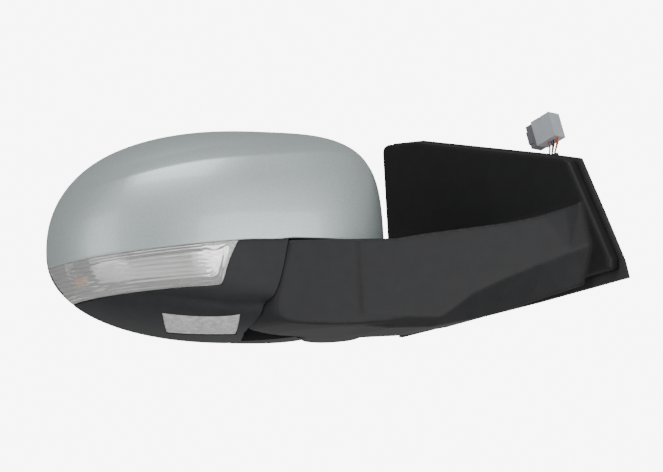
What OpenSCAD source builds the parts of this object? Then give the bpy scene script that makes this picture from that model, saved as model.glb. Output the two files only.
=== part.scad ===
// Power-folding door mirror with indicator and puddle lamp, right-hand side.
// Row frame: +X points into the door, -X outboard, -Y to the front of the car, +Z up.
// The origin is the middle of the mounting face, which lies in the plane X = 0.

/* [Head] */
// Reach of the head outline outboard of its widest line's centre
out_reach = 130; // [110:1:150]
// Reach of the head outline inboard of that centre
in_reach = 106; // [90:1:112]
// Height of the outline above its widest line
up_reach = 90; // [80:1:100]
// Height of the outline below its widest line
down_reach = 58; // [50:1:64]
// Depth of the head from the glass rim to the nose
head_depth = 92; // [80:1:105]
// Wall of the cap and covers
wall = 2.4; // [1.8:0.2:3]
// Rearward set of the head about the fold axis, in degrees
head_yaw = 18; // [10:1:22]

/* [Base] */
// Length of the sail panel along the door
sail_len = 212; // [190:1:230]
// Height of the sail panel at its rear edge
sail_h = 145; // [120:1:160]
// Radius of the fixed knuckle at its top
knuckle_r_top = 66; // [60:1:67]
// Radius of the fixed knuckle at its foot
knuckle_r_low = 73.5; // [68:0.5:74]

/* [Mechanism] */
// Radius of the hollow pivot shaft
shaft_r = 9; // [7:0.5:10]
// Arm from the glass pivot to each plunger
plunger_arm = 26; // [22:1:30]
// Teeth of the fixed fold gear
fold_teeth = 40; // [30:1:50]

/* [Hidden] */
$fn = 48;

axis_x = -128;      // fold axis in the row frame
axis_y = -12;
fold_z = -5;        // the fold plane: arm below, cap above
fold_gap = 1.6;     // running gap round the knuckle
out_c = [-62, -6];  // centre of the head outline, head frame x and z
rim_y = 50;         // rear rim of the head
cap_y = 38;         // where the cap ends and the bezel begins
sail_x = -14;       // outer face of the sail
gc = [-76, 18];      // glass pivot, head frame x and z
pivot_y = 30;       // glass pivot depth
steps_a = 26;
steps_z = 12;

// ---------- head surface ----------
function spow(v, p) = sign(v) * pow(abs(v), p);
function rel(z, i) = min(1, abs(z - out_c[1]) / ((z >= out_c[1] ? up_reach : down_reach) - i));
function se(t, n) = pow(max(0, 1 - pow(t, n)), 1 / n);
function x_out(z, i = 0) = out_c[0] - (out_reach - i) * se(rel(z, i), z >= out_c[1] ? 2.15 : 2.3);
function x_in(z, i = 0) = out_c[0] + (in_reach - i) * se(rel(z, i), z >= out_c[1] ? 4.2 : 3);
function deep(z, i = 0) = (head_depth - i) * se(rel(z, i), z >= out_c[1] ? 3 : 5);
function squeeze(z, i) = let (h = z >= out_c[1] ? up_reach : down_reach) out_c[1] + (z - out_c[1])
    * (h - i) / h;
// Point at slice angle a (0 inboard rim, 180 outboard rim) and height z, offset inward by i
function skin(a, z0, i = 0) = let (
        z = squeeze(z0, i), xo = x_out(z, i), xi = x_in(z, i), c = cos(a), s = abs(sin(a)),
        p = c > 0 ? 3.6 : 2.3, cp = spow(c, 2 / p))
    [(xo + xi) / 2 + (xi - xo) / 2 * cp, rim_y - deep(z, i) * pow(s, 2 / p) * (1 + 0.14 * cp), z];
// Slice angle at which the skin passes the cap's rear edge
function rim_angle(z, p) = let (d = deep(z) * (p > 3 ? 1.14 : 0.86), w = rim_y - cap_y)
    asin(pow(w / max(d, w), p / 2));
function x_mid(a) = skin(a, out_c[1])[0];
function split_z(x) = fold_z - 11 * pow(max(0, -60 - x) / 131, 1.1);
function lens_low_z(x) = x > -92 ? split_z(x) : x > -109 ? -37 + 29.7 * (x + 109)
    / 17 : -37 - 3 * (-109 - x) / 82;

function turned(f) = [for (t = f) [for (k = [len(t) - 1 : -1 : 0]) t[k]]];

// Closed sheet between skin offsets i and j; cols is a list of slice angles, lo and hi the edge heights there
module sheet(cols, lo, hi, i, j, ease = 1) {
    n = len(cols);
    m = steps_z + 1;
    function step(f) = ease > 0 ? 1 - pow(1 - f, ease) : pow(f, -ease);
    function zz(k, r) = lo[k] + (hi[k] - lo[k]) * step(r / steps_z);
    function at(k, z) = let (r0 = rim_angle(z, 3.6), r1 = 180 - rim_angle(z,
        2.3)) r0 + (r1 - r0) * cols[k] / 180;
    pts = [for (o = [i, j], k = [0 : n - 1], r = [0 : steps_z]) skin(at(k, zz(k, r)), zz(k, r), o)];
    function id(s, k, r) = s * n * m + k * m + r;
    faces = concat(
        [for (k = [0 : n - 2], r = [0 : steps_z - 1]) [id(0, k, r), id(0, k, r + 1), id(0, k + 1,
            r + 1)]],
        [for (k = [0 : n - 2], r = [0 : steps_z - 1]) [id(0, k, r), id(0, k + 1, r + 1), id(0, k + 1,
            r)]],
        [for (k = [0 : n - 2], r = [0 : steps_z - 1]) [id(1, k, r), id(1, k + 1, r + 1), id(1, k,
            r + 1)]],
        [for (k = [0 : n - 2], r = [0 : steps_z - 1]) [id(1, k, r), id(1, k + 1, r), id(1, k + 1,
            r + 1)]],
        [for (k = [0 : n - 2]) [id(0, k, 0), id(0, k + 1, 0), id(1, k + 1, 0), id(1, k, 0)]],
        [for (k = [0 : n - 2]) [id(0, k, steps_z), id(1, k, steps_z), id(1, k + 1, steps_z), id(0,
            k + 1, steps_z)]],
        [for (r = [0 : steps_z - 1]) [id(0, 0, r), id(1, 0, r), id(1, 0, r + 1), id(0, 0, r + 1)]],
        [for (r = [0 : steps_z - 1]) [id(0, n - 1, r), id(0, n - 1, r + 1), id(1, n - 1, r + 1), id(1,
            n - 1, r)]]);
    polyhedron(pts, turned(faces), convexity = 6);
}
function ramp(a, b, n) = [for (k = [0 : n]) a + (b - a) * k / n];
// Slice angle at which the skin reaches width x on the widest line
function angle_at(x) = let (xm = (x_out(out_c[1]) + x_in(out_c[1])) / 2, hw = x_in(out_c[1]) - xm,
        c = (x - xm) / hw, p = c > 0 ? 3.6 : 2.3) acos(spow(c, p / 2));
cap_top = 82.5;
head_low = -63.999;
all_cols = ramp(0, 180, steps_a);
lens_cols = concat(ramp(angle_at(-91), angle_at(-110), 4), ramp(angle_at(-114), 180, 14));
low_cols = concat(ramp(0, angle_at(-89), 14), ramp(angle_at(-91), angle_at(-110), 4),
    ramp(angle_at(-114), 180, 12));

// Outline of the head's rear rim, inset by i, in head frame x and z
function rim_line(i, n = 22) = concat(
    [for (k = [0 : n]) let (z = rim_row(k / n)) [x_in(squeeze(z, i), i), squeeze(z, i)]],
    [for (k = [n : -1 : 0]) let (z = rim_row(k / n)) [x_out(squeeze(z, i), i), squeeze(z, i)]]);
function rim_row(f) = out_c[1] + (f < 0.4 ? -57.9 * (1 - pow(1 - (0.4 - f) / 0.4,
    3)) : 89.9 * (1 - pow(1 - (f - 0.4) / 0.6, 3)));

module in_head() {
    translate([axis_x, axis_y, 0]) rotate([0, 0, -head_yaw]) children();
}
// Flat slice of the head outline between depths y0 and y1
module rim_slab(i, y0, y1) {
    translate([0, y1, 0]) rotate([90, 0, 0]) linear_extrude(y1 - y0) polygon(rim_line(i));
}
// Shaft-like piece along head +y at [x, z], from y0 to y1
module rod_y(x, z, y0, y1, r) {
    translate([x, y0, z]) rotate([-90, 0, 0]) cylinder(r = r, h = y1 - y0);
}
module rod_x(y, z, x0, x1, r) {
    translate([x0, y, z]) rotate([0, 90, 0]) cylinder(r = r, h = x1 - x0);
}
// Box by its two corners
module slab(a, b) {
    translate(a) cube(b - a);
}
// Round tube of radius r along a list of points
module tube(pts, r, sides = 8, up = [0.31, 0.2, 0.93]) {
    n = len(pts);
    function dir(k) = let (d = pts[min(n - 1, k + 1)] - pts[max(0, k - 1)]) d / norm(d);
    function side(k) = let (s = cross(dir(k), up)) s / norm(s);
    rings = [for (k = [0 : n - 1], j = [0 : sides - 1]) let (u = side(k), v = cross(dir(k), u),
        a = 360 * j / sides)
        pts[k] + r * (cos(a) * u + sin(a) * v)];
    walls = [for (k = [0 : n - 2], j = [0 : sides - 1]) let (q = (j + 1) % sides)
        [k * sides + j, k * sides + q, (k + 1) * sides + q, (k + 1) * sides + j]];
    tris = [for (w = walls, h = [0, 1]) h == 0 ? [w[0], w[1], w[2]] : [w[0], w[2], w[3]]];
    ends = [[for (j = [sides - 1 : -1 : 0]) j], [for (j = [0 : sides - 1]) (n - 1) * sides + j]];
    polyhedron(rings, turned(concat(tris, ends)), convexity = 8);
}
// Smooth curve through a list of points
function curve(p, m = 6) = let (n = len(p)) concat([for (k = [0 : n - 2], j = [0 : m - 1]) let (
        t = j / m, a = p[max(0, k - 1)], b = p[k], c = p[k + 1], d = p[min(n - 1, k + 2)])
    0.5 * (2 * b + (c - a) * t + (2 * a - 5 * b + 4 * c - d) * t * t + (3 * b - 3 * c + d - a)
        * t * t * t)], [p[n - 1]]);

// ---------- base ----------
sail_line = [[38, 93], [33, 97.4], [3.5, 93.5], [-112, 60], [-141, 51], [-158, 8], [-171, -26],
    [-173, -36], [-94, -41], [-8, -45], [38, -47]];
// Plan of the fixed knuckle about the fold axis
knuckle_plan = [[0, 0], [-88.9, 14.1], [-100.8, -1], [41, -94.4], [62, -44]];
// Arm sections: x, then ridge, lower crease, bottom front, bottom rear and top rear as [y, z]
arm_rows = [
    [-150, [-65.4, -6.1], [-65.4, -57], [-60, -64.3], [-30, -64.3], [-30, -6.7]],
    [-128, [-79.9, -6.1], [-79.9, -60], [-73, -66.4], [-34, -66.4], [-34, -6.7]],
    [-105, [-95, -2], [-95, -61], [-88, -66], [-42, -66.4], [-42, -6.2]],
    [-84, [-108.9, 1], [-108.9, -44], [-98, -62], [-50, -64], [-50, -4]],
    [-62, [-123.4, 4], [-123.4, -33], [-108, -57], [-58, -60], [-58, -1]],
    [-42, [-136.5, 8.4], [-136.5, -24], [-122, -50], [-52, -54], [-50, 5]],
    [-26, [-145, 14], [-147.1, -17], [-136, -44], [-46, -46], [-44, 10]],
    [-12, [-150, 19], [-156, -11], [-146, -39], [-42, -41], [-40, 14]]];
// Pushes a section point toward the section's middle by i
function toward(p, m, i) = let (d = m - p) p + [sign(d[0]), sign(d[1])] * i;
module arm_body(i) {
    n = len(arm_rows);
    mids = [for (r = arm_rows) [(r[1][0] + r[4][0]) / 2, (r[1][1] + r[3][1]) / 2]];
    pts = [for (k = [0 : n - 1], j = [1 : 5]) let (q = toward(arm_rows[k][j], mids[k],
        i)) [arm_rows[k][0], q[0], q[1]]];
    walls = [for (k = [0 : n - 2], j = [0 : 4]) let (q = (j + 1) % 5) [k * 5 + j, k * 5 + q,
        (k + 1) * 5 + q, (k + 1) * 5 + j]];
    tris = [for (w = walls, h = [0, 1]) h == 0 ? [w[0], w[1], w[2]] : [w[0], w[2], w[3]]];
    polyhedron(pts, turned(concat(tris, [[4, 3, 2, 1, 0], [for (j = [0 : 4]) (n - 1) * 5 + j]])),
        convexity = 4);
}
module knuckle_body(i) {
    translate([axis_x, axis_y, 0]) intersection() {
        rotate_extrude($fn = 72) polygon([[0, fold_z - 0.8 - i], [knuckle_r_top - i, fold_z - 0.8 - i],
            [knuckle_r_low - i, -50], [knuckle_r_low - 1 - i, -54], [66 - i, -59.5 + i], [50 - i,
                -63 + i], [0, -66 + i]]);
        union() {
            translate([0, 0, -70]) linear_extrude(70) offset(delta = -i) polygon(knuckle_plan);
            translate([0, 0, -70]) cylinder(r = 21 - i, h = 70);
        }
    }
}
module sail_prism(x0, x1, i) {
    translate([x0, 0, 0]) rotate([90, 0, 90]) linear_extrude(x1 - x0) offset(delta = -i)
        polygon(sail_line);
}
module base_cover() {
    color([0.09, 0.09, 0.1]) resize([0, 0, 0]) difference() {
        union() {
            sail_prism(-11, -4, 0);
            hull() {
                sail_prism(-11.1, -11, 0);
                sail_prism(-14, -13.9, 2.5);
            }
            arm_body(0);
            knuckle_body(0);
        }
        difference() {
            sail_prism(-11.4, -3, 2.6);
            for (b = screws) rod_x(b[0], b[1], -12, -5.2, 4.5);
        }
        for (b = screws) rod_x(b[0], b[1], -10, -3, 2.05);
        arm_body(2.6);
        knuckle_body(2.6);
        slab([-30, -138, -36.4], [-11, -56, 1]);
        translate([axis_x, axis_y, -20]) cylinder(r = 17, h = 30);
    }
}
bolts = [[-20, 70], [-130, 30], [-40, -25]];
screws = [[24, 78], [24, -32], [-140, 8]];
module base_casting() {
    color([0.55, 0.56, 0.58]) difference() {
        union() {
            sail_prism(-5, 0, 8);
            for (b = bolts) rod_x(b[0], b[1], -7, -1, 8);
            translate([0, 0, -36]) linear_extrude(19) polygon([[-4, -128], [-4, -62], [-60, -67], [-74,
                -59.5], [-84, -51.5], [-112, -30],
                [-128, -12], [-140, -40], [-118, -74], [-60, -108]]);
            translate([axis_x, axis_y, -58]) cylinder(r = 18, h = 49.4);
            translate([axis_x, axis_y, -12]) cylinder(r = 16.4, h = 7.4);
        }
        translate([axis_x, axis_y, -60]) cylinder(r = shaft_r, h = 70);
        rod_x(grommet_at[0], grommet_at[1], -10, 1, 9);
        translate([0, 0, -32]) linear_extrude(17) polygon([[-10, -122], [-10, -72], [-60, -74], [-104,
            -40], [-96, -76], [-60, -98]]);
        for (b = bolts) rod_x(b[0], b[1], -8, 1, 3.6);
        for (b = screws) {
            rod_x(b[0], b[1], -6, 1, 2.05);
            rod_x(b[0], b[1], -1.8, 1, 4.1);
        }
        translate([-3, 0, 0]) rotate([90, 0, 90]) linear_extrude(5) polygon([[-58, -14], [-58, 12],
            [-74, 34], [-92, 64],
            [-124, 64], [-110, 40], [-98, 16], [-87, -14]]);
    }
}
module base_gasket() {
    color([0.06, 0.06, 0.06]) difference() {
        sail_prism(-3.9, 0, -2);
        sail_prism(-5, 1, 7);
    }
}
module mounting_studs() {
    color([0.72, 0.73, 0.75]) for (b = bolts) translate([-7, b[0], b[1]]) rotate([0, 90, 0]) {
        cylinder(r = 3.5, h = 7);
        cylinder(r = 3, h = 33);
        translate([0, 0, -3.6]) cylinder(r = 6.5, h = 3.6);
    }
}
module pivot_shaft() {
    color([0.6, 0.61, 0.63]) translate([axis_x, axis_y, 0]) difference() {
        union() {
            translate([0, 0, -56]) cylinder(r = shaft_r, h = 122);
            translate([0, 0, -4.6]) cylinder(r = 15.5, h = 3);
        }
        translate([0, 0, -60]) cylinder(r = shaft_r - 2.5, h = 140);
    }
}
module fold_gear() {
    color([0.85, 0.83, 0.74]) translate([axis_x, axis_y, 29]) linear_extrude(8) difference() {
        circle(r = 17);
        circle(r = shaft_r);
        for (k = [1 : fold_teeth]) rotate(k * 360 / fold_teeth) translate([17, 0]) circle(r = 0.8,
            $fn = 8);
    }
}
module fold_spring() {
    path = [for (k = [0 : 90]) let (a = k * 20) [axis_x + 12.6 * cos(a), axis_y + 12.6 * sin(a),
        45.2 + 14.6 * k / 90]];
    color([0.45, 0.46, 0.48]) tube(path, 1.25, 8, [0, 0, 1]);
}
module spring_retainer() {
    color([0.6, 0.61, 0.63]) translate([axis_x, axis_y, 61.2]) difference() {
        cylinder(r = 16, h = 2.4);
        translate([0, 0, -1]) cylinder(r = shaft_r, h = 5);
    }
}
grommet_at = [-72, 0]; // y and z of the harness hole in the plate
function lead_path() = curve([[-8, -72, 0], [3, -72.2, 0.4], [11.4, -76, 8], [13, -87, 24], [12.4, -99,
    40], [10, -111, 53],
    [8, -110, 62.6]], 5);
module harness_grommet() {
    color([0.05, 0.05, 0.05]) translate([-3, grommet_at[0], grommet_at[1]]) rotate([0, -90,
        0]) difference() {
        union() {
            translate([0, 0, -2.5]) cylinder(r = 12, h = 2.5);
            cylinder(r = 9, h = 3);
        }
        translate([0, 0, -4]) cylinder(r = 4.4, h = 12);
    }
}
module harness_lead() {
    color([0.04, 0.04, 0.04]) tube(lead_path(), 4, 10);
}
module harness_clip() {
    lean = 36.9;    // the lead's slope where the clip holds it
    color([0.75, 0.75, 0.72]) difference() {
        union() {
            translate([12.8, -90, 28]) rotate([lean, 0, 0]) cylinder(r = 6.4, h = 6, center = true);
            rod_x(-90, 28, -3, 8, 3);
        }
        translate([12.8, -90, 28]) rotate([lean, 0, 0]) cylinder(r = 4.6, h = 30, center = true);
    }
}
plug_lean = 14;     // the connector's tilt
plug_at = [8, -104, 81];
// Things stood at the connector, its long side leaning forward
module at_plug() {
    translate(plug_at) rotate([-plug_lean, 0, 0]) children();
}
// A point of the connector's own Y-Z plane
function plug_point(x, y, z) = plug_at
    + [x, y * cos(plug_lean) + z * sin(plug_lean), z * cos(plug_lean) - y * sin(plug_lean)];
module connector_body() {
    color([0.62, 0.64, 0.66]) at_plug() difference() {
        slab([-6, -12, -9.5], [6, 5.4, 9.5]);
        slab([-4.4, -10.4, 0], [4.4, -4.2, 10]);
        slab([-4.4, -2.6, 0], [4.4, 3.8, 10]);
        slab([-7, -4.1, 7], [-5.5, -2.7, 10]);
        slab([5.5, -4.1, -7], [7, -2.7, 10]);
        for (k = [0 : 4]) translate([0, 2.2 * k - 9.6, -10]) cylinder(r = 0.9, h = 6, $fn = 16);
    }
}
module connector_lock() {
    color([0.5, 0.52, 0.55]) at_plug() difference() {
        union() {
            slab([-5.4, 5.4, -9], [5.4, 11.4, 8.4]);
            slab([-6, 8, -6], [6, 12, 4]);
        }
        slab([-3.6, 6.8, -2], [3.6, 10, 9]);
        for (z = [-4, -1, 2]) slab([5.5, 7, z - 0.6], [7, 13, z + 0.6]);
    }
}
module connector_wires() {
    color([0.5, 0.3, 0.2]) for (k = [0 : 4]) let (x = 1.6 * (k % 2) - 0.8)
        tube([[8 + x, -112.4 + 1.2 * k, 63.5], plug_point(x / 2, 2 * k - 9.2, -12.5), plug_point(0,
            2.2 * k - 9.6, -9.4),
            plug_point(0, 2.2 * k - 9.6, -6)], 0.65, 6, [1, 0, 0.05]);
}
module inner_loom() {
    color([0.05, 0.05, 0.05]) tube(curve([[-10.2, -72, -0.6], [-16, -72, -6], [-40, -70, -11], [-80,
        -61, -12.8],
        [-104, -46, -13]], 6), 2.9, 8);
}
module cover_screws() {
    color([0.35, 0.36, 0.38]) for (b = screws) translate([-1.7, b[0], b[1]]) rotate([0, -90, 0]) {
        cylinder(r = 2, h = 8);
        translate([0, 0, -1.5]) cylinder(r = 4, h = 1.6);
    }
}

// ---------- head ----------
// Plate that closes the top of the cap between heights z0 and z1
module crown(z0, z1, z) {
    translate([0, 0, z0]) linear_extrude(z1 - z0)
        polygon([for (k = [3 : 16]) let (q = skin(9 * k, z, 0.9)) [q[0], q[1]]]);
}
module head_cap() {
    color([0.62, 0.66, 0.7]) in_head() resize([0, 0, 0]) union() {
        sheet(all_cols, [for (a = all_cols) split_z(x_mid(a)) + 0.8], [for (a = all_cols) cap_top], 0,
            wall, 2);
        crown(81, 83.3, 82.4);
        crown(83, 84, 83.6);
    }
}
module indicator_lens() {
    color([0.85, 0.86, 0.86]) in_head() sheet(lens_cols, [for (a = lens_cols) lens_low_z(x_mid(a)) + 0.4],
        [for (a = lens_cols) split_z(x_mid(a)) + 0.1], 0.2, 2.2, 1);
}
module indicator_housing() {
    color([0.8, 0.81, 0.83]) in_head() sheet([for (k = [1 : len(lens_cols) - 5]) lens_cols[k]],
        [for (k = [1 : len(lens_cols) - 5]) min(-24, lens_low_z(x_mid(lens_cols[k])) + 3)],
        [for (k = [1 : len(lens_cols) - 5]) split_z(x_mid(lens_cols[k])) - 2], 11, 12.5, 1);
}
module indicator_bulb() {
    color([0.95, 0.5, 0.05]) in_head() translate([-174.3, 22.2, -27]) rotate([90, 0, 24]) {
        sphere(r = 2.9);
        cylinder(r = 2.6, h = 7);
    }
}
module head_shadow() {
    // Room kept free for the fixed knuckle and arm over the whole fold
    rotate_extrude($fn = 72) polygon([[0, fold_z + 0.8], [knuckle_r_top + fold_gap, fold_z + 0.8],
        [knuckle_r_low + fold_gap, -49], [knuckle_r_low + fold_gap, -55], [67.5, -60.5], [50, -64.8],
            [0, -70]]);
}
module wedge(a0, a1, r, n = 8) {
    translate([0, 0, -90]) linear_extrude(90 + fold_z + 0.8) polygon(concat([[0, 0]],
        [for (k = [0 : n]) let (a = a0 + (a1 - a0) * k / n) r * [cos(a), sin(a)]]));
}
module keep_out() {
    intersection() {
        head_shadow();
        wedge(154, 409, 120, 12);
    }
    wedge(236, 409, 160, 10);
    translate([0, 0, -90]) cylinder(r = 24, h = 90 + fold_z + 0.8);
}
module lower_cover() {
    color([0.11, 0.11, 0.12]) in_head() resize([0, 0, 0]) difference() {
        sheet(low_cols, [for (a = low_cols) head_low], [for (a = low_cols) lens_low_z(x_mid(a)) - 0.1],
            0, wall, -4);
        keep_out();
        puddle_window(0.3);
    }
}
module puddle_window(g) {
    translate([0, 0, -80]) linear_extrude(40) offset(delta = g) polygon([[-128, -6], [-82, -27], [-72,
        4], [-113, 23.5]]);
}
module puddle_lens() {
    color([0.7, 0.72, 0.74]) in_head() resize([0, 0, 0]) intersection() {
        sheet(low_cols, [for (a = low_cols) head_low], [for (a = low_cols) -46], 0.3, 2.3, -4);
        puddle_window(0);
    }
}
module puddle_housing() {
    color([0.75, 0.76, 0.78]) in_head() translate([-104, 0, -48]) difference() {
        cylinder(r1 = 15, r2 = 9, h = 14);
        translate([0, 0, -1]) cylinder(r1 = 14, r2 = 7.5, h = 13.5);
        translate([0, 0, 10]) cylinder(r = 3, h = 5);
    }
}
module puddle_bulb() {
    color([0.9, 0.9, 0.86]) in_head() translate([-104, 0, -38.5]) {
        sphere(r = 2.6);
        cylinder(r = 3, h = 12);
    }
}
module glass_bezel() {
    color([0.07, 0.07, 0.08]) in_head() difference() {
        rim_slab(0.5, cap_y + 0.4, rim_y);
        rim_slab(13, cap_y - 1, rim_y + 1);
        wedge(236, 409, 70, 10);
    }
}
module mirror_glass() {
    color([0.75, 0.8, 0.84]) in_head() rim_slab(16.5, 45, 47.5);
}
module heater_pad() {
    color([0.2, 0.2, 0.21]) in_head() rim_slab(22, 44.4, 45);
}
module glass_holder() {
    color([0.1, 0.1, 0.11]) in_head() difference() {
        union() {
            rim_slab(18, 42.4, 44.4);
            rod_y(gc[0], gc[1], 33, 42.4, 14);
            for (s = [[plunger_arm, 0], [0, plunger_arm]]) rod_y(gc[0] + s[0], gc[1] + s[1], 37, 42.4, 6);
        }
        rod_y(gc[0], gc[1], 32, 40.4, 12);
        for (s = [[plunger_arm, 0], [0, plunger_arm]]) rod_y(gc[0] + s[0], gc[1] + s[1], 36, 40.6, 4.2);
        rod_x(pivot_y + 6, gc[1], gc[0] - 20, gc[0] + 20, 1.55);
    }
}
module gimbal_ring() {
    color([0.8, 0.8, 0.77]) in_head() translate([gc[0], pivot_y + 6, gc[1]]) {
        difference() {
            rotate([90, 0, 0]) cylinder(r = 9.6, h = 5, center = true);
            rotate([90, 0, 0]) cylinder(r = 6.2, h = 8, center = true);
            cylinder(r = 1.55, h = 30, center = true);
        }
        for (s = [-1, 1]) translate([s * 7.4, 0, 0]) rotate([0, s * 90, 0]) cylinder(r = 1.5, h = 6.2);
    }
}
case_posts = [[-107.6, 6.4], [-42.4, 6.4], [-107.6, 51.6], [-42.4, 51.6]];
module actuator_case() {
    color([0.13, 0.13, 0.14]) in_head() difference() {
        slab([-112, 6, 2], [-38, 24, 56]);
        difference() {
            slab([-110, 8, 4], [-40, 25, 54]);
            for (c = case_posts) rod_y(c[0], c[1], 7, 24, 3.4);
        }
        for (c = case_posts) rod_y(c[0], c[1], 18, 25, 1.45);
    }
}
module actuator_cover() {
    posts = [[plunger_arm, 0], [0, plunger_arm]];
    color([0.16, 0.16, 0.17]) in_head() difference() {
        union() {
            slab([-112, 24, 2], [-38, 26, 56]);
            rod_y(gc[0], gc[1], 24, pivot_y + 6.5, 5);
            translate([gc[0], pivot_y + 6, gc[1]]) cylinder(r = 1.5, h = 18, center = true);
        }
        for (s = posts) rod_y(gc[0] + s[0], gc[1] + s[1], 20, 30, 3.06);
        for (c = case_posts) rod_y(c[0], c[1], 20, 30, 1.5);
    }
}
module actuator_motors() {
    color([0.66, 0.67, 0.69]) in_head() {
        rod_x(15.2, 10.4, -103.4, -86, 5.6);
        rod_x(15.2, 10.4, -86, -78, 1);
        rod_x(15.2, 47.6, -103.4, -90, 5.6);
        rod_x(15.2, 47.6, -90, -86.4, 1);
    }
}
module drive_gear(x, z) {
    translate([x, 12, z]) rotate([-90, 0, 0]) linear_extrude(5) difference() {
        circle(r = 8);
        circle(r = 3.05);
        for (k = [1 : 20]) rotate(k * 18) translate([8, 0]) circle(r = 0.7, $fn = 8);
    }
}
module pan_gear() {
    color([0.88, 0.86, 0.78]) in_head() drive_gear(gc[0] + plunger_arm, gc[1]);
}
module tilt_gear() {
    color([0.88, 0.86, 0.78]) in_head() drive_gear(gc[0], gc[1] + plunger_arm);
}
module plunger(x, z) {
    rod_y(x, z, 12.6, 36.6, 3);
    translate([x, 37.2, z]) sphere(r = 3);
}
module pan_plunger() {
    color([0.85, 0.85, 0.82]) in_head() plunger(gc[0] + plunger_arm, gc[1]);
}
module tilt_plunger() {
    color([0.85, 0.85, 0.82]) in_head() plunger(gc[0], gc[1] + plunger_arm);
}
module actuator_screws() {
    color([0.5, 0.5, 0.52]) in_head() for (c = case_posts) {
        rod_y(c[0], c[1], 20, 26.1, 1.4);
        rod_y(c[0], c[1], 26.1, 27.9, 2.6);
    }
}
module head_frame() {
    color([0.2, 0.2, 0.21]) in_head() difference() {
        union() {
            slab([-122, 0, 0], [24, 3, 60]);
            slab([-146, 0, -30], [-84, 3, 0]);
            slab([-112, 2, 2], [-38, 5.9, 56]);
            slab([-116, -12, -33.9], [-92, 3, -29.9]);
            translate([0, 0, -1]) cylinder(r = 18, h = 27);
            translate([0, 0, -1]) linear_extrude(2.4) intersection() {
                polygon([for (a = all_cols) let (q = skin(a, 1, 4.6)) [q[0], q[1]]]);
                translate([-96, -60]) square([140, 82]);
            }
        }
        translate([0, 0, -5]) cylinder(r = shaft_r + 0.05, h = 90);
        slab([-27, -40, 26.2], [27, 30, 90]);
        translate([0, 0, -6]) cylinder(r = 17, h = 5.6);
        for (c = [[-117, 50], [-139, -20], [-117, 12], [21.4, 14]]) rod_y(c[0], c[1], -2, 6, 1.7);
        translate([-104, 0, -40]) cylinder(r = 3.05, h = 14);
    }
}
module frame_screws() {
    color([0.5, 0.5, 0.52]) in_head() for (c = [[-117, 50], [-139, -20], [-117, 12], [21.4, 14]]) {
        rod_y(c[0], c[1], -7, 3.1, 1.6);
        rod_y(c[0], c[1], 3.1, 5, 3);
    }
}
module fold_housing() {
    color([0.15, 0.15, 0.16]) in_head() difference() {
        union() {
            translate([0, 0, 26.4]) cylinder(r = 20.4, h = 14);
            slab([-46, -29.5, 26.4], [10, -8, 40.4]);
        }
        translate([0, 0, 28]) cylinder(r = 18.6, h = 20);
        slab([-44, -27.5, 28], [8, -16, 42]);
        translate([0, 0, 20]) cylinder(r = shaft_r + 0.05, h = 30);
    }
}
module fold_housing_lid() {
    color([0.18, 0.18, 0.19]) in_head() difference() {
        union() {
            translate([0, 0, 40.4]) cylinder(r = 20.4, h = 2);
            slab([-46, -29.5, 40.4], [10, -8, 42.4]);
        }
        translate([0, 0, 38]) cylinder(r = shaft_r + 0.05, h = 10);
    }
}
module fold_motor() {
    color([0.66, 0.67, 0.69]) in_head() {
        rod_x(-22, 33, -43.6, -18, 4.5);
        rod_x(-22, 33, -18, -6, 1.2);
    }
}
module fold_worm() {
    path = [for (k = [0 : 72]) let (a = k * 30) [-10 + 14 * k / 72, -22 + 3.7 * cos(a),
        33 + 3.7 * sin(a)]];
    color([0.7, 0.7, 0.72]) in_head() {
        difference() {
            rod_x(-22, 33, -13, 7, 3.4);
            rod_x(-22, 33, -14, -5, 1.25);
        }
        tube(path, 0.85, 6, [1, 0, 0]);
    }
}
base_casting();
base_cover();
base_gasket();
mounting_studs();
pivot_shaft();
fold_gear();
fold_spring();
spring_retainer();
harness_grommet();
harness_lead();
inner_loom();
harness_clip();
connector_body();
connector_lock();
connector_wires();
cover_screws();
head_frame();
head_cap();
lower_cover();
glass_bezel();
indicator_lens();
indicator_housing();
indicator_bulb();
puddle_lens();
puddle_housing();
puddle_bulb();
fold_housing();
fold_housing_lid();
fold_motor();
fold_worm();
actuator_case();
actuator_cover();
actuator_motors();
pan_gear();
tilt_gear();
pan_plunger();
tilt_plunger();
actuator_screws();
frame_screws();
gimbal_ring();
glass_holder();
heater_pad();
mirror_glass();
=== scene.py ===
import bpy, bmesh, math
import numpy as np
from mathutils import Matrix, Vector


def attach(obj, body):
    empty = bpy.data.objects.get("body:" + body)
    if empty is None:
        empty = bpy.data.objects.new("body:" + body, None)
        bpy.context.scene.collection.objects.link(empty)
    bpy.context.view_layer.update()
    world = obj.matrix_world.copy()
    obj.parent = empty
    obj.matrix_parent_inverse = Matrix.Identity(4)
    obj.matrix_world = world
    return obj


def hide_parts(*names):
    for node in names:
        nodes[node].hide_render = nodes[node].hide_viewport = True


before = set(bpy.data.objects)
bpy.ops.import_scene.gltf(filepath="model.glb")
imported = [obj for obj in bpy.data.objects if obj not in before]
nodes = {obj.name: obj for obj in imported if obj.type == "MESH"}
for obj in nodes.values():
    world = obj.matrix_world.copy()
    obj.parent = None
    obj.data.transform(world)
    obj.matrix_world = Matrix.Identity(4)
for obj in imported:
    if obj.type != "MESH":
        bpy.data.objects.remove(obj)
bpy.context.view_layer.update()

MM = 0.001

# ---------- camera: in front of the outer end and a little below ----------
AZIMUTH, ELEVATION, ROLL = math.radians(-45), math.radians(-11), math.radians(-3)
DISTANCE = 1.4
AIM = Vector((-0.15, -0.04, 0))


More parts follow.
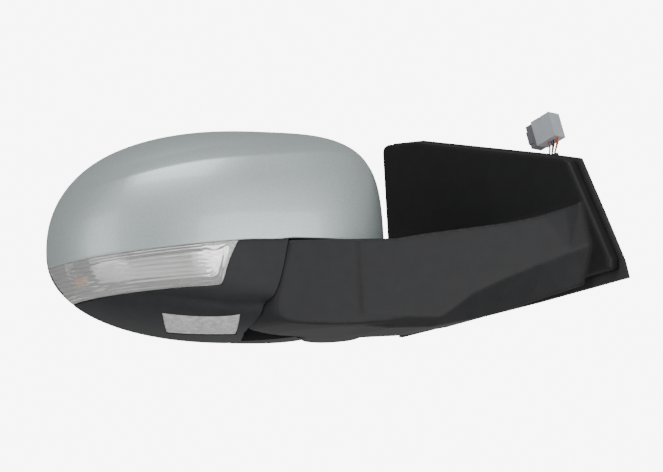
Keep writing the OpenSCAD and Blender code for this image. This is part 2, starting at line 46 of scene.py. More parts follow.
def set_camera():
    back = Vector((math.sin(AZIMUTH) * math.cos(ELEVATION), -math.cos(AZIMUTH) * math.cos(ELEVATION),
                   math.sin(ELEVATION)))
    right = Vector((math.cos(AZIMUTH), math.sin(AZIMUTH), 0))
    up = right.cross(-back)
    cam_right = right * math.cos(ROLL) + up * math.sin(ROLL)
    cam_up = -right * math.sin(ROLL) + up * math.cos(ROLL)
    data = bpy.data.cameras.new("camera")
    data.lens, data.sensor_width = 111.8, 36.0
    data.clip_end = 50
    cam = bpy.data.objects.new("camera", data)
    cam.matrix_world = Matrix.Translation(AIM + back * DISTANCE) @ Matrix(
        (cam_right, cam_up, back)).transposed().to_4x4()
    bpy.context.scene.collection.objects.link(cam)
    bpy.context.scene.camera = cam


set_camera()

# ---------- head surface, in millimetres in the head's own frame ----------
# The head's frame stands on the fold axis, turned by YAW. Its surface is built of superellipses.
YAW = math.radians(-18)
AX_X, AX_Y = -128.0, -12.0
RIM_Y, CAP_Y = 50.0, 38.0           # back of the head at the glass, and back edge of the cap
FOLD_Z, GAP = -5.0, 0.8             # seam between head and knuckle, and the space each leaves there
OUT, IN, UP, DOWN, DEEP = 130.0, 106.0, 90.0, 58.0, 92.0
CX, CZ = -62.0, -6.0                # centre that those five reach out from
INBOARD, OUTBOARD = 3.6, 2.3        # how square the plan is at each end
CROWN, KEEL = 83.954, -63.9993      # last rows of the shells: nearer the tips they shrink to a spike
SEAM = 0.8                          # cap above the lower cover
BELOW = -90                         # lower than anything in the head


def height_share(z, i):
    h = np.where(z >= CZ, UP, DOWN) - i
    return np.minimum(1, np.abs(z - CZ) / h)


def superellipse(t, n):
    return np.maximum(0, 1 - t ** n) ** (1 / n)


def x_out(z, i=0.0):
    return CX - (OUT - i) * superellipse(height_share(z, i), np.where(z >= CZ, 2.15, 2.3))


def x_in(z, i=0.0):
    return CX + (IN - i) * superellipse(height_share(z, i), np.where(z >= CZ, 4.2, 3.0))


def deep(z, i=0.0):
    return (DEEP - i) * superellipse(height_share(z, i), np.where(z >= CZ, 3.0, 5.0))


def squeeze(z, i):
    h = np.where(z >= CZ, UP, DOWN)
    return CZ + (z - CZ) * (h - i) / h


def skin(a, z0, i=0.0):
    """Points of the surface set in by i, at angles a from inboard (0) to outboard (pi)."""
    z = squeeze(z0, i)
    xo, xi = x_out(z, i), x_in(z, i)
    c, s = np.cos(a), np.abs(np.sin(a))
    p = np.where(c > 0, INBOARD, OUTBOARD)
    cp = np.sign(c) * np.abs(c) ** (2 / p)
    return np.stack([(xo + xi) / 2 + (xi - xo) / 2 * cp,
                     RIM_Y - deep(z, i) * s ** (2 / p) * (1 + 0.14 * cp), z], -1)


def rim_angle(z, p):
    """Angle from one end at which the surface reaches the back edge of the cap."""
    d = deep(z) * (1.14 if p == INBOARD else 0.86)
    w = RIM_Y - CAP_Y
    return np.arcsin((w / np.maximum(d, w)) ** (p / 2))


def x_mid(a):
    return skin(a, np.full_like(a, CZ))[..., 0]


def angle_at(x):
    xm, hw = (CX - OUT + CX + IN) / 2, (OUT + IN) / 2
    c = (x - xm) / hw
    p = np.where(c > 0, INBOARD, OUTBOARD)
    return np.arccos(np.sign(c) * np.abs(c) ** (p / 2))


def split_z(x):
    """Height of the seam between cap and lower cover: level inboard, falling outboard."""
    return FOLD_Z - 11 * (np.maximum(0, -60 - x) / 131) ** 1.1


def head_world(p):
    c, s = math.cos(YAW), math.sin(YAW)
    q = np.array(p, float)
    out = q.copy()
    out[..., 0] = AX_X + q[..., 0] * c - q[..., 1] * s
    out[..., 1] = AX_Y + q[..., 0] * s + q[..., 1] * c
    return out


def head_angle(a):
    return math.degrees(math.radians(a) + YAW)


# ---------- mesh helpers ----------
def make(name, verts, faces, smooth=True):
    me = bpy.data.meshes.new(name)
    me.from_pydata([tuple(v) for v in np.asarray(verts, float) * MM], [], faces)
    me.validate()
    me.update()
    ob = bpy.data.objects.new(name, me)
    bpy.context.scene.collection.objects.link(ob)
    bm = bmesh.new()
    bm.from_mesh(me)
    bmesh.ops.remove_doubles(bm, verts=bm.verts, dist=2e-6)
    bmesh.ops.recalc_face_normals(bm, faces=bm.faces)
    bm.to_mesh(me)
    bm.free()
    if smooth:
        for p in me.polygons:
            p.use_smooth = True
    return ob


def grid_faces(n, m, wrap=False):
    f = []
    for i in range(n if wrap else n - 1):
        for j in range(m - 1):
            a, b = i * m + j, ((i + 1) % n) * m + j
            f.append((a, b, b + 1, a + 1))
    return f


def tube_faces(n, m, full=True):
    """n sections of m points, each section a closed loop."""
    return [(i * m + j, ((i + 1) % n) * m + j, ((i + 1) % n) * m + (j + 1) % m, i * m + (j + 1) % m)
            for i in range(n if full else n - 1) for j in range(m)]


def loft_sides(rows, n):
    """Sides of a solid through rows of n points; the ends are added by the caller."""
    return [(r * n + k, r * n + (k + 1) % n, (r + 1) * n + (k + 1) % n, (r + 1) * n + k)
            for r in range(rows - 1) for k in range(n)]


def border(g):
    """Edge of a grid, once round."""
    return np.concatenate([g[:, 0], g[-1, 1:], g[-2::-1, -1], g[0, -2:0:-1]])


def plain(faces):
    return [tuple(int(v) for v in f) for f in faces]


def prism(name, plan, z0, z1):
    n = len(plan)
    v = [(x, y, z0) for x, y in plan] + [(x, y, z1) for x, y in plan]
    ends = [tuple(range(n))[::-1], tuple(range(n, 2 * n))]
    return make(name, v, ends + loft_sides(2, n), False)


def revolve(name, prof, steps, a0=0.0, a1=360.0):
    """Turns a closed profile of (radius, z) about the fold axis."""
    full = a1 - a0 >= 360
    ang = np.radians(np.linspace(a0, a1, steps + (0 if full else 1), endpoint=not full))
    v = [(AX_X + r * math.cos(t), AX_Y + r * math.sin(t), z) for t in ang for r, z in prof]
    m, n = len(prof), len(ang)
    f = tube_faces(n, m, full)
    if not full:
        f += [tuple(range(m)), tuple(range((n - 1) * m, n * m))[::-1]]
    return make(name, v, f)


def sector(name, radius):
    """The angles round the fold axis that the fixed knuckle takes, as a solid under the seam."""
    turns = [math.radians(head_angle(t)) for t in np.linspace(236, 409, 24)]
    plan = [(AX_X, AX_Y)] + [(AX_X + radius * math.cos(t), AX_Y + radius * math.sin(t)) for t in turns]
    return prism(name, plan, BELOW, FOLD_Z + GAP)


def apply_all(ob):
    bpy.context.view_layer.update()
    dg = bpy.context.evaluated_depsgraph_get()
    me = bpy.data.meshes.new_from_object(ob.evaluated_get(dg))
    ob.modifiers.clear()
    ob.data = me


def boolean(ob, other, op="DIFFERENCE"):
    m = ob.modifiers.new("cut", "BOOLEAN")
    m.operation, m.object, m.solver = op, other, "EXACT"
    apply_all(ob)
    bpy.data.objects.remove(other)


def smooth_by_angle(ob, deg):
    me = ob.data
    for p in me.polygons:
        p.use_smooth = True
    bm = bmesh.new()
    bm.from_mesh(me)
    for e in bm.edges:
        e.smooth = len(e.link_faces) == 2 and e.calc_face_angle(0) < math.radians(deg)
    bm.to_mesh(me)
    bm.free()
    return ob


def shell(name, cols, lo, hi, wall, ease, rows, rnd, relief, lift=0.0):
    """Closed sheet of the head's surface between heights lo and hi, wall thick, with its edge turned over.

    Rows crowd to the top for a positive ease, and to the bottom for a negative one. relief(angle, share of
    the height, z) sinks the outer face, and rnd is the radius of the edge.
    """
    r = np.linspace(0, 1, rows)
    r = 1 - (1 - r) ** ease if ease > 0 else r ** -ease
    a, R = np.meshgrid(cols, r, indexing="ij")
    Z = lo[:, None] + (hi - lo)[:, None] * R
    r0, r1 = rim_angle(Z, INBOARD), math.pi - rim_angle(Z, OUTBOARD)
    A = r0 + (r1 - r0) * a / math.pi
    outer = skin(A, Z, lift + relief(A, R, Z))
    inner = skin(A, Z, lift + wall)
    n, m = outer.shape[:2]
    o, i = border(outer), border(inner)
    ids = np.arange(n * m).reshape(n, m)
    d = i - o
    ln = np.linalg.norm(d, axis=1, keepdims=True) + 1e-9
    # direction into the sheet, at each point of its border
    inset = np.zeros_like(o)
    inset[:n] = (outer[:, 1] - outer[:, 0])
    inset[n:n + m - 1] = (outer[-2, 1:] - outer[-1, 1:])
    inset[n + m - 1:2 * n + m - 2] = (outer[-2::-1, -2] - outer[-2::-1, -1])
    inset[2 * n + m - 2:] = (outer[1, -2:0:-1] - outer[0, -2:0:-1])
    inset /= np.linalg.norm(inset, axis=1, keepdims=True) + 1e-9
    # loops that turn the edge over, from the outer grid to the inner one
    loops = []
    for w in (0.35, 1.0):
        th = w * math.pi / 2
        loops.append(o + d / ln * rnd * (1 - math.cos(th)) - inset * rnd * (math.sin(th)) * 0.55)
    loops.append(i - inset * rnd * 0.55)
    q = len(o)
    verts, faces = [outer.reshape(-1, 3)], grid_faces(n, m)
    prev, k = list(border(ids)), n * m

    def join(cur):
        for j in range(q):
            faces.append((prev[j], prev[(j + 1) % q], cur[(j + 1) % q], cur[j]))

    for loop in loops:
        verts.append(loop)
        cur = list(range(k, k + q))
        join(cur)
        prev, k = cur, k + q
    verts.append(inner.reshape(-1, 3))
    join(list(border(ids + k)))
    faces += [(np.array(f) + k)[::-1] for f in grid_faces(n, m)]
    return make(name, head_world(np.concatenate(verts)), plain(faces))


# ---------- materials ----------
def nodes_of(name):
    m = bpy.data.materials.new(name)
    m.use_nodes = True
    nt = m.node_tree
    return m, nt, nt.nodes["Principled BSDF"]


def noise(nt, scale, detail=4.0):
    n = nt.nodes.new("ShaderNodeTexNoise")
    n.inputs["Scale"].default_value = scale
    n.inputs["Detail"].default_value = detail
    n.inputs["Roughness"].default_value = 0.55
    tc = nt.nodes.new("ShaderNodeTexCoord")
    nt.links.new(tc.outputs["Object"], n.inputs["Vector"])
    return n.outputs["Fac"]


def ramp(nt, src, low, high):
    """Colour that goes from low to high over the middle of the noise."""
    r = nt.nodes.new("ShaderNodeValToRGB")
    e = r.color_ramp.elements
    e[0].position, e[0].color = 0.3, (*low, 1)
    e[1].position, e[1].color = 0.7, (*high, 1)
    nt.links.new(src, r.inputs["Fac"])
    return r.outputs["Color"]


def bump(nt, bsdf, src, strength, dist):
    b = nt.nodes.new("ShaderNodeBump")
    b.inputs["Strength"].default_value = strength
    b.inputs["Distance"].default_value = dist
    nt.links.new(src, b.inputs["Height"])
    nt.links.new(b.outputs["Normal"], bsdf.inputs["Normal"])


def along(nt, axis, start, end):
    """0 to 1 between two places in metres along an axis."""
    tc = nt.nodes.new("ShaderNodeTexCoord")
    sep = nt.nodes.new("ShaderNodeSeparateXYZ")
    nt.links.new(tc.outputs["Object"], sep.inputs["Vector"])
    at = nt.nodes.new("ShaderNodeMapRange")
    at.inputs["From Min"].default_value, at.inputs["From Max"].default_value = start, end
    nt.links.new(sep.outputs[axis], at.inputs["Value"])
    return at.outputs["Result"]


def stuff(name, low, high, scale, rough, metallic=0.0, grain=None, coat=0.0, trans=0.0, ior=None, spec=None):
    """Two colours and two roughnesses mixed by noise; grain is (scale, strength, depth in metres)."""
    m, nt, b = nodes_of(name)
    nt.links.new(ramp(nt, noise(nt, scale), low, high), b.inputs["Base Color"])
    rr = nt.nodes.new("ShaderNodeMapRange")
    rr.inputs["To Min"].default_value, rr.inputs["To Max"].default_value = rough
    nt.links.new(noise(nt, scale * 0.37, 2.0), rr.inputs["Value"])
    nt.links.new(rr.outputs["Result"], b.inputs["Roughness"])
    b.inputs["Metallic"].default_value = metallic
    b.inputs["Coat Weight"].default_value = coat
    b.inputs["Coat Roughness"].default_value = 0.04
    b.inputs["Transmission Weight"].default_value = trans
    if ior:
        b.inputs["IOR"].default_value = ior
    if spec is not None:
        b.inputs["Specular IOR Level"].default_value = spec
    if grain:
        bump(nt, b, noise(nt, grain[0], 3.0), grain[1], grain[2])
    return m


def base_plastic():
    """One moulding: charcoal grain on the arm, and painted shade that turns the flat sail near black."""
    m, nt, b = nodes_of("base_cover_plastic")
    tone = noise(nt, 90)
    arm_tone = ramp(nt, tone, (0.0075, 0.0077, 0.009), (0.0105, 0.0107, 0.012))
    # the sail's near-black tone is painted shade on the same charcoal plastic
    sail_painted_shade = ramp(nt, tone, (0.0025, 0.0026, 0.0025), (0.0045, 0.0047, 0.0045))
    mix = nt.nodes.new("ShaderNodeMix")
    mix.data_type = "RGBA"
    # blends from the arm's charcoal to the sail's painted shade across the sail's face
    nt.links.new(along(nt, "X", -0.0172, -0.0148), mix.inputs["Factor"])
    nt.links.new(arm_tone, mix.inputs[6])
    nt.links.new(sail_painted_shade, mix.inputs[7])
    nt.links.new(mix.outputs[2], b.inputs["Base Color"])
    b.inputs["Roughness"].default_value = 0.52
    b.inputs["Specular IOR Level"].default_value = 0.3
    bump(nt, b, noise(nt, 2600, 3.0), 0.2, 0.0002)
    return m


def wire_colours():
    """Orange, dark and violet leads side by side."""
    m, nt, b = nodes_of("wire_insulation")
    orange, dark, violet = (0.55, 0.13, 0.03, 1), (0.02, 0.02, 0.02, 1), (0.16, 0.03, 0.3, 1)
    r = nt.nodes.new("ShaderNodeValToRGB")
    r.color_ramp.interpolation = "CONSTANT"
    e = r.color_ramp.elements
    e[0].position, e[0].color = 0.0, orange
    e[1].position, e[1].color = 0.8, dark
    for pos, col in [(0.32, dark), (0.46, violet), (0.62, orange)]:
        e.new(pos).color = col
    nt.links.new(along(nt, "Y", -0.117, -0.103), r.inputs["Fac"])
    nt.links.new(r.outputs["Color"], b.inputs["Base Color"])
    b.inputs["Roughness"].default_value = 0.4
    bump(nt, b, noise(nt, 700), 0.1, 0.0001)
    return m


MAT = dict(
    silver=stuff("silver_metallic_paint", (0.33, 0.39, 0.385), (0.47, 0.53, 0.52), 1500, (0.38, 0.46),
                 metallic=0.55, coat=0.35),
    charcoal=stuff("charcoal_grained_plastic", (0.0095, 0.0105, 0.012), (0.013, 0.014, 0.016), 90, (0.5, 0.58),
                   grain=(2600, 0.25, 0.0002), spec=0.3),
    black=stuff("black_plastic", (0.01, 0.01, 0.011), (0.017, 0.017, 0.018), 80, (0.4, 0.5),
                grain=(2200, 0.2, 0.0002)),
    rubber=stuff("black_rubber", (0.012, 0.012, 0.012), (0.02, 0.02, 0.02), 120, (0.7, 0.82),
                 grain=(1500, 0.3, 0.0002)),
    cast=stuff("die_cast_alloy", (0.42, 0.43, 0.45), (0.52, 0.53, 0.54), 90, (0.42, 0.55),
               metallic=0.85, grain=(500, 0.3, 0.0003)),
    steel=stuff("zinc_plated_steel", (0.5, 0.51, 0.52), (0.6, 0.6, 0.6), 150, (0.28, 0.38), metallic=0.95),
    nylon=stuff("natural_nylon", (0.6, 0.57, 0.48), (0.68, 0.65, 0.56), 60, (0.4, 0.5)),
    chrome=stuff("reflector_film", (0.78, 0.79, 0.8), (0.85, 0.86, 0.87), 200, (0.12, 0.2), metallic=0.9),
    lens=stuff("clear_indicator_lens", (0.93, 0.94, 0.92), (0.98, 0.98, 0.97), 40, (0.04, 0.08),
               coat=0.2, trans=0.82, ior=1.49),
    frost=stuff("textured_lamp_lens", (0.42, 0.42, 0.42), (0.72, 0.72, 0.71), 260, (0.2, 0.35),
                grain=(380, 0.9, 0.0008), coat=0.3, trans=0.12, ior=1.49),
    amber=stuff("amber_glass", (0.9, 0.24, 0.01), (1.0, 0.34, 0.02), 60, (0.08, 0.15),
                coat=0.3, trans=0.2, ior=1.5),
    mirror=stuff("silvered_glass", (0.8, 0.83, 0.85), (0.84, 0.86, 0.87), 10, (0.015, 0.03), metallic=1.0),
    plug_dark=stuff("connector_slide_grey", (0.1, 0.1, 0.11), (0.14, 0.14, 0.15), 80, (0.4, 0.5),
                    grain=(900, 0.1, 0.0002)),
    plug=stuff("connector_grey", (0.3, 0.32, 0.34), (0.36, 0.38, 0.4), 80, (0.4, 0.5), grain=(900, 0.1, 0.0002)),
    can=stuff("motor_can", (0.45, 0.46, 0.47), (0.55, 0.55, 0.56), 90, (0.3, 0.4), metallic=0.9),
    wires=wire_colours(),
    base=base_plastic(),
)
# which nodes each material is for
LOOK = dict(
    base="base_cover", silver="head_cap", charcoal="lower_cover", cast="base_casting", mirror="mirror_glass",
    black="head_frame glass_bezel fold_housing fold_housing_lid actuator_case actuator_cover glass_holder",
    rubber="base_gasket harness_grommet harness_lead inner_loom heater_pad",
    steel="mounting_studs pivot_shaft fold_spring spring_retainer fold_worm cover_screws actuator_screws "
          "frame_screws",
    nylon="fold_gear harness_clip pan_gear tilt_gear pan_plunger tilt_plunger gimbal_ring",
    chrome="indicator_housing puddle_housing", lens="indicator_lens puddle_bulb", frost="puddle_lens",
    amber="indicator_bulb", plug="connector_body", plug_dark="connector_lock", wires="connector_wires",
    can="fold_motor actuator_motors",
)


def dress(ob, mat):
    ob.data.materials.clear()
    ob.data.materials.append(MAT[mat])


for mat, names in LOOK.items():
    for name in names.split():
        dress(nodes[name], mat)


def finish_piece(ob, mat, body, node):
    dress(ob, mat)
    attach(ob, body)
    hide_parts(node)


# ---------- cap ----------
def shoulder(a, r, z):
    """A soft style line round the cap: the face swells up to it, then turns away to the crown."""
    x = x_mid(a)
    line = 57.5 - 8 * np.clip((-20 - x) / 80, 0, 1) - 14 * np.clip((-100 - x) / 70, 0, 1.4) ** 1.4
    below = np.clip(1 - (line - z) / 34, 0, 1)
    above = np.clip(1 - (z - line) / 13, 0, 1)
    fade = np.clip((deep(z) - 20) / 20, 0, 1) * np.clip((30 - x) / 25, 0, 1) * np.clip((x + 186) / 26, 0, 1)
    return 0.3 * np.clip((-150 - x) / 40, 0, 1) - 1.9 * fade * np.where(z < line, below ** 1.6, above ** 1.25)


cols = np.linspace(0, math.pi, 150)
cap = shell("cap_shell", cols, split_z(x_mid(cols)) + SEAM, np.full(cols.shape, CROWN), wall=2.4, ease=2.6,
            rows=130, rnd=0.9, relief=shoulder)
smooth_by_angle(cap, 50)
finish_piece(cap, "silver", "head", "head_cap")


# ---------- knuckle: its outline, and the room the lower cover leaves for it ----------
def knuckle_profile(g, top):
    """Outline as (radius, z), grown by g; the axis is kept just off zero."""
    return [(0.01, top), (66 + g, top), (69.9 + g, -28), (73.5 + g, -50), (73.3 + g, -54), (72.3 + g, -57.6),
            (70 + g, -60.4 - g), (66 + g, -62.3 - g), (58 + g, -63.7 - g), (50.0, -64.8 - g), (0.01, -66 - g)]


def post(name, radius, top, bottom):
    return revolve(name, [(0.01, top), (radius, top), (radius, bottom), (0.01, bottom)], 64)


def keep_out():
    top = FOLD_Z + GAP
    ring = revolve("keep_ring", knuckle_profile(GAP, top), 150, head_angle(154), head_angle(409))
    boolean(ring, sector("keep_fan", 160), "UNION")
    boolean(ring, post("keep_core", 24, top, BELOW), "UNION")
    return ring


# ---------- lower cover ----------
LENS_X = -91.6                      # inboard end of the indicator lens


def soft_max(a, b, k):
    """The larger of two heights, with the corner between them rounded by k."""
    ea, eb = (np.exp(np.clip((h + 60) / k, -30, 30)) for h in (a, b))
    return np.log(ea + eb) * k - 60


def lens_low(x):
    """Lower edge of the indicator lens: its inboard end slants, with a rounded lower corner."""
    x = np.asarray(x, float)
    main = -37 - 3 * (-109 - x) / 82
    slope = -37 + 29.7 * (x + 109) / 17
    both = np.where(x > -118, soft_max(main, slope, 2.2), main)
    return np.where(x > LENS_X, split_z(x), np.minimum(both, split_z(x)))


def underside_line(a, r, z):
    """The side of the lower cover turns in to a line, below which the flat underside starts."""
    line = -45 - 9 * np.clip((x_mid(a) + 164) / 60, 0, 1)
    return 2.2 * np.exp(-((z - line - 4.2) / 3.6) ** 2) * np.clip((-CX + x_mid(a) + 120) / 10, 0, 1)


# columns close together where the lens ends
low_cols = np.concatenate([np.linspace(0, angle_at(-88), 70)[:-1],
                           np.linspace(angle_at(-88), angle_at(-120), 34)[:-1],
                           np.linspace(angle_at(-120), math.pi, 60)])
xm = x_mid(low_cols)
# thin along the lens, solid beside the knuckle
thick = (2.4 + 7 * np.clip((xm + 88) / 6, 0, 1))[:, None]
lower = shell("lower_cover_shell", low_cols, np.full(low_cols.shape, KEEL), lens_low(xm) - 0.35, wall=thick,
              ease=-4, rows=110, rnd=0.7, relief=underside_line)
boolean(lower, keep_out())
bpy.context.view_layer.update()

# corners of the puddle lamp's opening in the underside
WINDOW = np.array([(-128, -7.7), (-80.4, -28.4), (-69.8, 3.6), (-113.2, 22.0)])


def lamp_glass():
    """Lamp lens let into the underside: a raised rim round a pillowed field."""
    mid = WINDOW.mean(0)
    a, b, c, d = mid + (WINDOW - mid) * (1 - 0.3 / 25)      # 0.3 clear of the opening all round
    long, wide, thickness = 50, 32, 1.8
    nu, nv = 84, 44
    outer = np.zeros((nu, nv, 3))
    for iu, u in enumerate(np.linspace(0, 1, nu)):
        for iv, v in enumerate(np.linspace(0, 1, nv)):
            x, y = (a * (1 - u) + b * u) * (1 - v) + (d * (1 - u) + c * u) * v
            w = head_world((x, y, -100.0)) * MM
            hit, q, _, _ = lower.ray_cast(tuple(w), (0, 0, 1))
            edge = min(u * long, (1 - u) * long, v * wide, (1 - v) * wide)
            rim = 0.45 * math.exp(-((edge - 1.6) / 0.7) ** 2) + 0.35 * math.exp(-((edge - 4.2) / 0.6) ** 2)
            pillow = 0.45 * abs(math.sin(u * math.pi * 13) * math.sin(v * math.pi * 7)) if edge > 5.5 else 0
            outer[iu, iv] = (w[0] / MM, w[1] / MM, (q[2] / MM if hit else -60) + 0.75 - rim - pillow)
    inner = outer.copy()
    inner[..., 2] += thickness
    n = nu * nv
    loop = border(np.arange(n).reshape(nu, nv))
    faces = grid_faces(nu, nv) + [tuple(k + n for k in f)[::-1] for f in grid_faces(nu, nv)]
    faces += [(p, q, q + n, p + n) for p, q in zip(loop, np.roll(loop, -1))]
    return make("puddle_lamp_lens", np.concatenate([outer.reshape(-1, 3), inner.reshape(-1, 3)]), plain(faces))


lamp = smooth_by_angle(lamp_glass(), 40)
boolean(lower, prism("puddle_cut", [tuple(head_world((x, y, 0.0))[:2]) for x, y in WINDOW], -80, -45))
smooth_by_angle(lower, 32)
finish_piece(lower, "charcoal", "head", "lower_cover")
finish_piece(lamp, "frost", "head", "puddle_lens")


# ---------- indicator lens, fluted inside its flange ----------
def flutes(a, r, z):
    """Two ridges round the flange, then a field of level flutes with upright prisms at the outboard end."""
    x = x_mid(a)
    high = (split_z(x) - lens_low(x)) * np.where(x > -109, 0.5, 1.0)
    d = np.minimum(r * high, (1 - r) * np.maximum(high, 8))
    ridge = 0.45 * np.exp(-((d - 1.3) / 0.5) ** 2) + 0.35 * np.exp(-((d - 3.1) / 0.45) ** 2)
    field = np.clip((d - 4) / 1.2, 0, 1)
    prisms = np.exp(-((x + 166) / 7) ** 2)
    wave = 0.5 * np.abs(np.sin(r * math.pi * 8)) * (1 - prisms) + 0.4 * prisms * np.abs(np.sin(x * 1.5))
    return 0.5 - ridge + field * wave


lens_cols = low_cols[xm < -91.7]    # just outboard of LENS_X, where the lens has some height
xl = x_mid(lens_cols)
lens = shell("indicator_lens_shell", lens_cols, lens_low(xl) + 0.4, split_z(xl) + 0.1, wall=2.0, ease=1,
             rows=150, rnd=0.6, relief=flutes, lift=0.1)
smooth_by_angle(lens, 40)
finish_piece(lens, "lens", "head", "indicator_lens")


# ---------- glass surround ----------
def outline(i):
    """Back edge of the head, set in by i, as (x, z) round from the bottom."""
    t = np.linspace(0, 1, 90)
    f = np.concatenate([-58 * (1 - t ** 2.6), 90 * (1 - (1 - t[1:]) ** 2.6)])
    z = squeeze(CZ + np.clip(f, -57.98, 89.98), i)
    return np.concatenate([np.stack([x_in(z, i), z], -1), np.stack([x_out(z, i), z], -1)[::-1]])


def ring_loft(name, rows):
    """A closed ring through rows of (inset, depth)."""
    loops = []
    for i, y in rows:
        edge = outline(i)
        loops.append(np.stack([edge[:, 0], np.full(len(edge), y), edge[:, 1]], -1))
    v = np.stack(loops, 1).reshape(-1, 3)
    return make(name, head_world(v), tube_faces(len(loops[0]), len(rows)))


bezel = ring_loft("glass_surround", [(0.9, 38.5), (1.6, 40.5), (2.8, 43.5), (4.2, 46.6), (5.8, 48.8), (7.6, 49.9),
                                     (9.4, 49.95), (11.6, 49.4), (12.9, 48.2), (13.2, 46.4), (13.4, 40),
                                     (12.2, 38.5)])
boolean(bezel, sector("bezel_cut", 70))
smooth_by_angle(bezel, 38)
finish_piece(bezel, "black", "head", "glass_bezel")


# ---------- mirror glass: slightly domed, ground edge ----------
def glass_sheet():
    front_y, back_y, domed, ground = 46.6, 45.0, 0.9, 0.25
    ring = outline(16.5)
    c = np.array([-76.0, 11.0])
    rows = np.concatenate([np.linspace(0.02, 0.97, 14), [0.99, 0.997, 1.0]])
    v, n, m = [], len(ring), len(rows)
    for p in ring:
        for r in rows:
            q = c + (p - c) * r
            rise = domed * (1 - ((q[0] - c[0]) / 105) ** 2 - ((q[1] - c[1]) / 70) ** 2)
            v.append((q[0], front_y + max(rise - (ground if r > 0.995 else 0), 0), q[1]))
    f = grid_faces(n, m, True)
    middle = n * m
    v.append((c[0], 47.5, c[1]))
    f += [(i * m, middle, ((i + 1) % n) * m) for i in range(n)]
    edge = len(v)
    v += [(p[0], back_y, p[1]) for p in ring]
    f += [(i * m + m - 1, edge + i, edge + (i + 1) % n, ((i + 1) % n) * m + m - 1) for i in range(n)]
    f.append(tuple(range(edge, edge + n)))
    return make("mirror_glass_sheet", head_world(np.array(v)), f)


glass = smooth_by_angle(glass_sheet(), 40)
finish_piece(glass, "mirror", "glass", "mirror_glass")

# ---------- base: sail, arm and fixed knuckle as one moulded cover ----------
# the sail's outline as (y, z), then the arm's sections as x and its five corners (y, z)
SAIL = [(38, 93), (36.6, 96), (33, 97.4), (3.5, 93.5), (-112, 60), (-137, 52.2), (-141.6, 49), (-158, 8),
        (-170.6, -24), (-170, -32), (-94, -37), (-8, -41), (35, -43), (38, -40.5)]
ARM = [(-150, (-65.4, -6.1), (-65.4, -57), (-60, -64.3), (-30, -64.3), (-30, -6.7)),
       (-128, (-79.9, -6.1), (-79.9, -60), (-73, -66.2), (-34, -66.2), (-34, -6.7)),
       (-105, (-95, -2), (-95, -61), (-88, -66.2), (-42, -66.2), (-42, -6.2)),
       (-84, (-108.9, 1), (-108.9, -44), (-98, -62), (-50, -64), (-50, -4)),
       (-62, (-123.4, 4), (-123.4, -33), (-108, -57), (-58, -60), (-58, -1)),
       (-42, (-136.5, 8.4), (-136.5, -24), (-122, -50), (-52, -54), (-50, 5)),
       (-26, (-145, 14), (-147.1, -17), (-136, -44), (-46, -46), (-44, 10)),
       (-12, (-150, 19), (-156, -11), (-146, -39), (-42, -41), (-40, 14))]


def sail_solid(rows):
    """Lofts the sail outline through rows of (x, inset)."""
    pts = np.array(SAIL, float)
    c = pts.mean(0)
    d = pts - c
    ln = np.linalg.norm(d, axis=1, keepdims=True)
    loops = []
    for x, i in rows:
        q = c + d * (1 - i / ln)
        loops.append(np.stack([np.full(len(q), x), q[:, 0], q[:, 1]], -1))
    n, m = len(pts), len(rows)
    ends = [tuple(range(n))[::-1], tuple(range((m - 1) * n, m * n))]
    return make("sail_cover", np.concatenate(loops), ends + loft_sides(m, n), False)


def arm_solid():
    v = [(x, *corner) for x, *corners in ARM for corner in corners]
    m, n = len(ARM), 5
    ends = [tuple(range(n)), tuple(range((m - 1) * n, m * n))]
    return make("arm", v, ends + loft_sides(m, n), False)


def knuckle_solid():
    top = FOLD_Z - GAP
    knuckle = revolve("knuckle", knuckle_profile(0, top), 160)
    plan = [(AX_X + x, AX_Y + y) for x, y in [(0, 0), (-88.9, 14.1), (-100.8, -1), (41, -94.4), (62, -44)]]
    boolean(knuckle, prism("knuckle_plan", plan, -80, 10), "INTERSECT")
    boolean(knuckle, post("knuckle_core", 21, top, -65.5), "UNION")
    return knuckle


sail = sail_solid([(-4.0, 0.0), (-11.0, 0.0), (-13.2, 0.9), (-14.0, 2.4)])
arm, knuckle = arm_solid(), knuckle_solid()
boolean(sail, arm, "UNION")
boolean(sail, knuckle, "UNION")
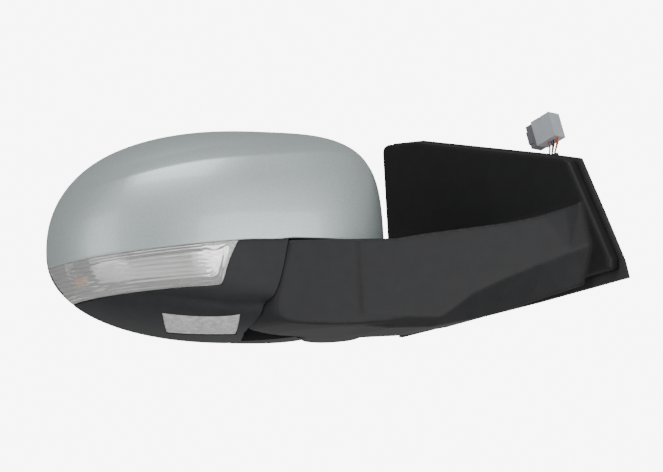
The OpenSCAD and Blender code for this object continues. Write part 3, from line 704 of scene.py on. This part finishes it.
# one even skin, eased over the joins
even = sail.modifiers.new("even", "REMESH")
even.mode, even.voxel_size = "VOXEL", 1.1 * MM
apply_all(sail)
ease = sail.modifiers.new("ease", "SMOOTH")
ease.factor, ease.iterations = 0.5, 9
apply_all(sail)
for p in sail.data.polygons:
    p.use_smooth = True
finish_piece(sail, "base", "base", "base_cover")


# ---------- floor, light ----------
MIDDLE = Vector((-0.15, -0.05, 0))  # what the lights point at


def add_floor():
    bpy.ops.mesh.primitive_plane_add(size=12, location=(0, 0, -0.45))
    floor = bpy.context.object
    floor.name = "floor"
    m, nt, b = nodes_of("pale_floor")
    nt.links.new(ramp(nt, noise(nt, 3), (0.9, 0.9, 0.9), (0.93, 0.93, 0.93)), b.inputs["Base Color"])
    b.inputs["Roughness"].default_value = 0.9
    floor.data.materials.append(m)


def area(name, loc, size, power):
    light = bpy.data.lights.new(name, "AREA")
    light.shape, light.size, light.size_y, light.energy = "RECTANGLE", size[0], size[1], power
    ob = bpy.data.objects.new(name, light)
    ob.location = loc
    ob.rotation_mode = "QUATERNION"
    ob.rotation_quaternion = (MIDDLE - Vector(loc)).to_track_quat("-Z", "Y")
    bpy.context.scene.collection.objects.link(ob)


def add_world(ambient, backdrop):
    """Soft light all round, and a white backdrop for the camera."""
    world = bpy.data.worlds.new("world")
    bpy.context.scene.world = world
    world.use_nodes = True
    nt = world.node_tree
    bg, white = nt.nodes["Background"], nt.nodes.new("ShaderNodeBackground")
    for n, strength in ((bg, ambient), (white, backdrop)):
        n.inputs[0].default_value = (1, 1, 1, 1)
        n.inputs[1].default_value = strength
    path, mix = nt.nodes.new("ShaderNodeLightPath"), nt.nodes.new("ShaderNodeMixShader")
    nt.links.new(path.outputs["Is Camera Ray"], mix.inputs[0])
    nt.links.new(bg.outputs[0], mix.inputs[1])
    nt.links.new(white.outputs[0], mix.inputs[2])
    nt.links.new(mix.outputs[0], nt.nodes["World Output"].inputs[0])


add_floor()
area("key", (-0.9, -0.7, 1.6), (1.2, 0.9), 24)
area("side", (-1.7, -0.1, 0.2), (0.7, 1.0), 6)
area("front", (-0.5, -1.7, 0.1), (1.0, 0.9), 15)
add_world(0.36, 8.0)
